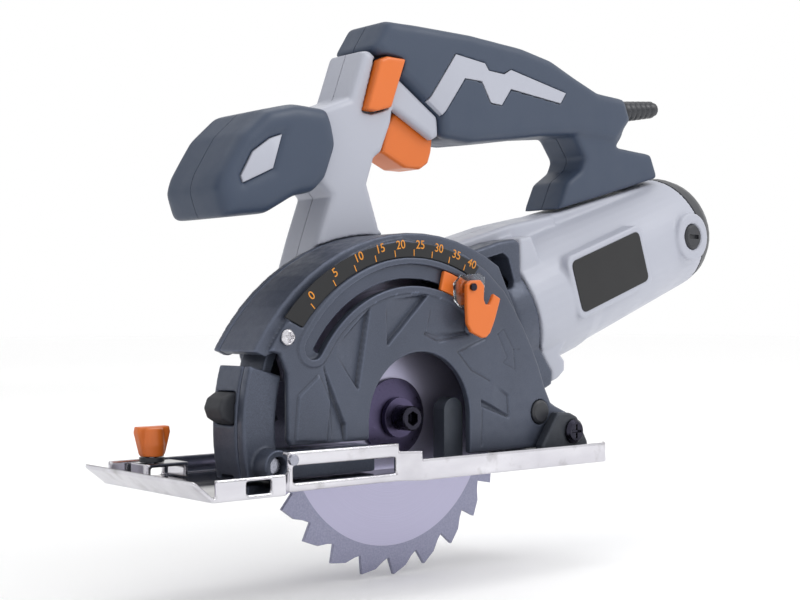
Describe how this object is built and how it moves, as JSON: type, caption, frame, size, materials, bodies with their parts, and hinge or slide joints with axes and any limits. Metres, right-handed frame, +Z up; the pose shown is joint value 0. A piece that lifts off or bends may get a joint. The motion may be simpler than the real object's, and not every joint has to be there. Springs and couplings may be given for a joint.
{
  "type": "track plunge saw",
  "caption": "Corded plunge saw on a pressed base: tilting guard and motor, circular blade, curved depth scale, two-hand grip.",
  "frame": {"origin": "on the sole under the parting seam of the handle, level with the blade axis", "axes": "+X to the rear of the saw, +Z up, -Y to the blade side; the blade plane is y = -20 mm"},
  "size_m": [0.3273, 0.0892, 0.223],
  "materials": {
    "chrome_plate": "bright plated",
    "guard_cast": "fine speckled dark casting",
    "dark_cast": "dark painted",
    "steel": "brushed",
    "blade_steel": "brushed, carbide tips",
    "black_steel": "blackened",
    "light_plastic": "fine matte",
    "slate_rubber": "soft overmould",
    "orange_plastic": "satin",
    "black_plastic": "matte",
    "black_rubber": "matte",
    "label": "printed film",
    "clear_plastic": "clear",
    "copper": "varnished copper windings",
    "carbon": "pressed carbon"
  },
  "bodies": {
    "base": {"base_plate": "chrome_plate", "stop_post": "dark_cast", "rail_rivet": "steel", "guide_bridge": "chrome_plate", "guide_stud": "steel", "guide_washer": "black_plastic", "pivot_bracket": "dark_cast", "pivot_screw": "steel", "return_spring": "steel", "lower_guard_body": "guard_cast", "lower_guard_cover": "guard_cast", "front_bumper": "black_rubber", "lower_guard_screw": "steel"},
    "guide_knob": {"guide_knob": "orange_plastic"},
    "saw_body": {"guard_cover": "guard_cast", "scale_label": "label", "guard_plug": "black_plastic", "guard_screw": "chrome_plate", "gear_case": "guard_cast", "gear_case_lid": "guard_cast", "stator": "steel", "spindle_bearing_front": "steel", "spindle_bearing_rear": "steel", "idler_bearing_rear": "steel", "rotor_bearing_front": "steel", "rotor_bearing_rear": "steel", "housing_near": "light_plastic", "housing_far": "light_plastic", "grip_near": "slate_rubber", "grip_far": "slate_rubber", "grip_inlay_near": "light_plastic", "grip_inlay_far": "light_plastic", "switch_body": "black_plastic", "strain_relief": "black_plastic", "front_handle_near": "slate_rubber", "front_handle_far": "slate_rubber", "handle_inset_near": "light_plastic", "handle_inset_far": "light_plastic", "rear_cover": "black_plastic", "brush_cap_near": "black_plastic", "brush_cap_far": "black_plastic", "brush_near": "carbon", "brush_far": "carbon", "blank_label": "label"},
    "spindle_set": {"spindle": "steel", "inner_flange": "steel", "blade": "blade_steel", "outer_flange": "steel", "bolt_washer": "steel", "blade_bolt": "black_steel"},
    "idler_set": {"idler_gear": "steel"},
    "rotor_set": {"rotor": "copper", "fan": "black_plastic"},
    "trigger": {"trigger": "orange_plastic"},
    "lock_off_button": {"lock_off_button": "orange_plastic"},
    "spindle_lock_button": {"spindle_lock_button": "black_plastic"},
    "depth_stop": {"depth_carriage": "orange_plastic", "depth_cursor": "clear_plastic", "depth_stud": "steel"},
    "depth_lever": {"depth_lever": "orange_plastic"}
  },
  "joints": [
    {"name": "plunge", "type": "hinge", "parent": "base", "child": "saw_body", "pos_m": [0.08, 0, 0.0125], "axis": [0, 1, 0], "range_deg": [0, 32.5], "deforming": ["return_spring"]},
    {"name": "guide_knob_turn", "type": "hinge", "parent": "base", "child": "guide_knob", "pos_m": [-0.0944, 0.004, 0.015], "axis": [0, 0, 1], "range_deg": [0, 360]},
    {"name": "spindle_spin", "type": "hinge", "parent": "saw_body", "child": "spindle_set", "pos_m": [0, -0.02, 0.021], "axis": [0, 1, 0], "continuous": true},
    {"name": "idler_spin", "type": "hinge", "parent": "saw_body", "child": "idler_set", "pos_m": [0.01093, 0, 0.0401], "axis": [0, 1, 0], "continuous": true},
    {"name": "rotor_spin", "type": "hinge", "parent": "saw_body", "child": "rotor_set", "pos_m": [-0.00472, 0, 0.03471], "axis": [0.9455, 0, 0.3256], "continuous": true},
    {"name": "trigger_press", "type": "slide", "parent": "saw_body", "child": "trigger", "axis": [-0.6475, 0, 0.7621], "range_m": [0, 0.005], "stiffness_N_per_m": 800, "springref_m": -0.002},
    {"name": "lock_off_press", "type": "slide", "parent": "saw_body", "child": "lock_off_button", "axis": [0, 1, 0], "range_m": [0, 0.0025], "stiffness_N_per_m": 800, "springref_m": -0.001},
    {"name": "spindle_lock_press", "type": "slide", "parent": "saw_body", "child": "spindle_lock_button", "axis": [0, -1, 0], "range_m": [0, 0.0028], "stiffness_N_per_m": 800, "springref_m": -0.001},
    {"name": "depth_set", "type": "hinge", "parent": "saw_body", "child": "depth_stop", "pos_m": [-0.0038, -0.04, 0.02], "axis": [0, -1, 0], "range_deg": [0, 72]},
    {"name": "depth_clamp", "type": "hinge", "parent": "depth_stop", "child": "depth_lever", "pos_m": [0.0209, -0.044, 0.07248], "axis": [0, -1, 0], "range_deg": [0, 70]}
  ],
  "couplings": [
    {"joint": "idler_spin", "follows": "spindle_spin", "ratio": -2.1429},
    {"joint": "rotor_spin", "follows": "spindle_spin", "ratio": 7.5}
  ]
}
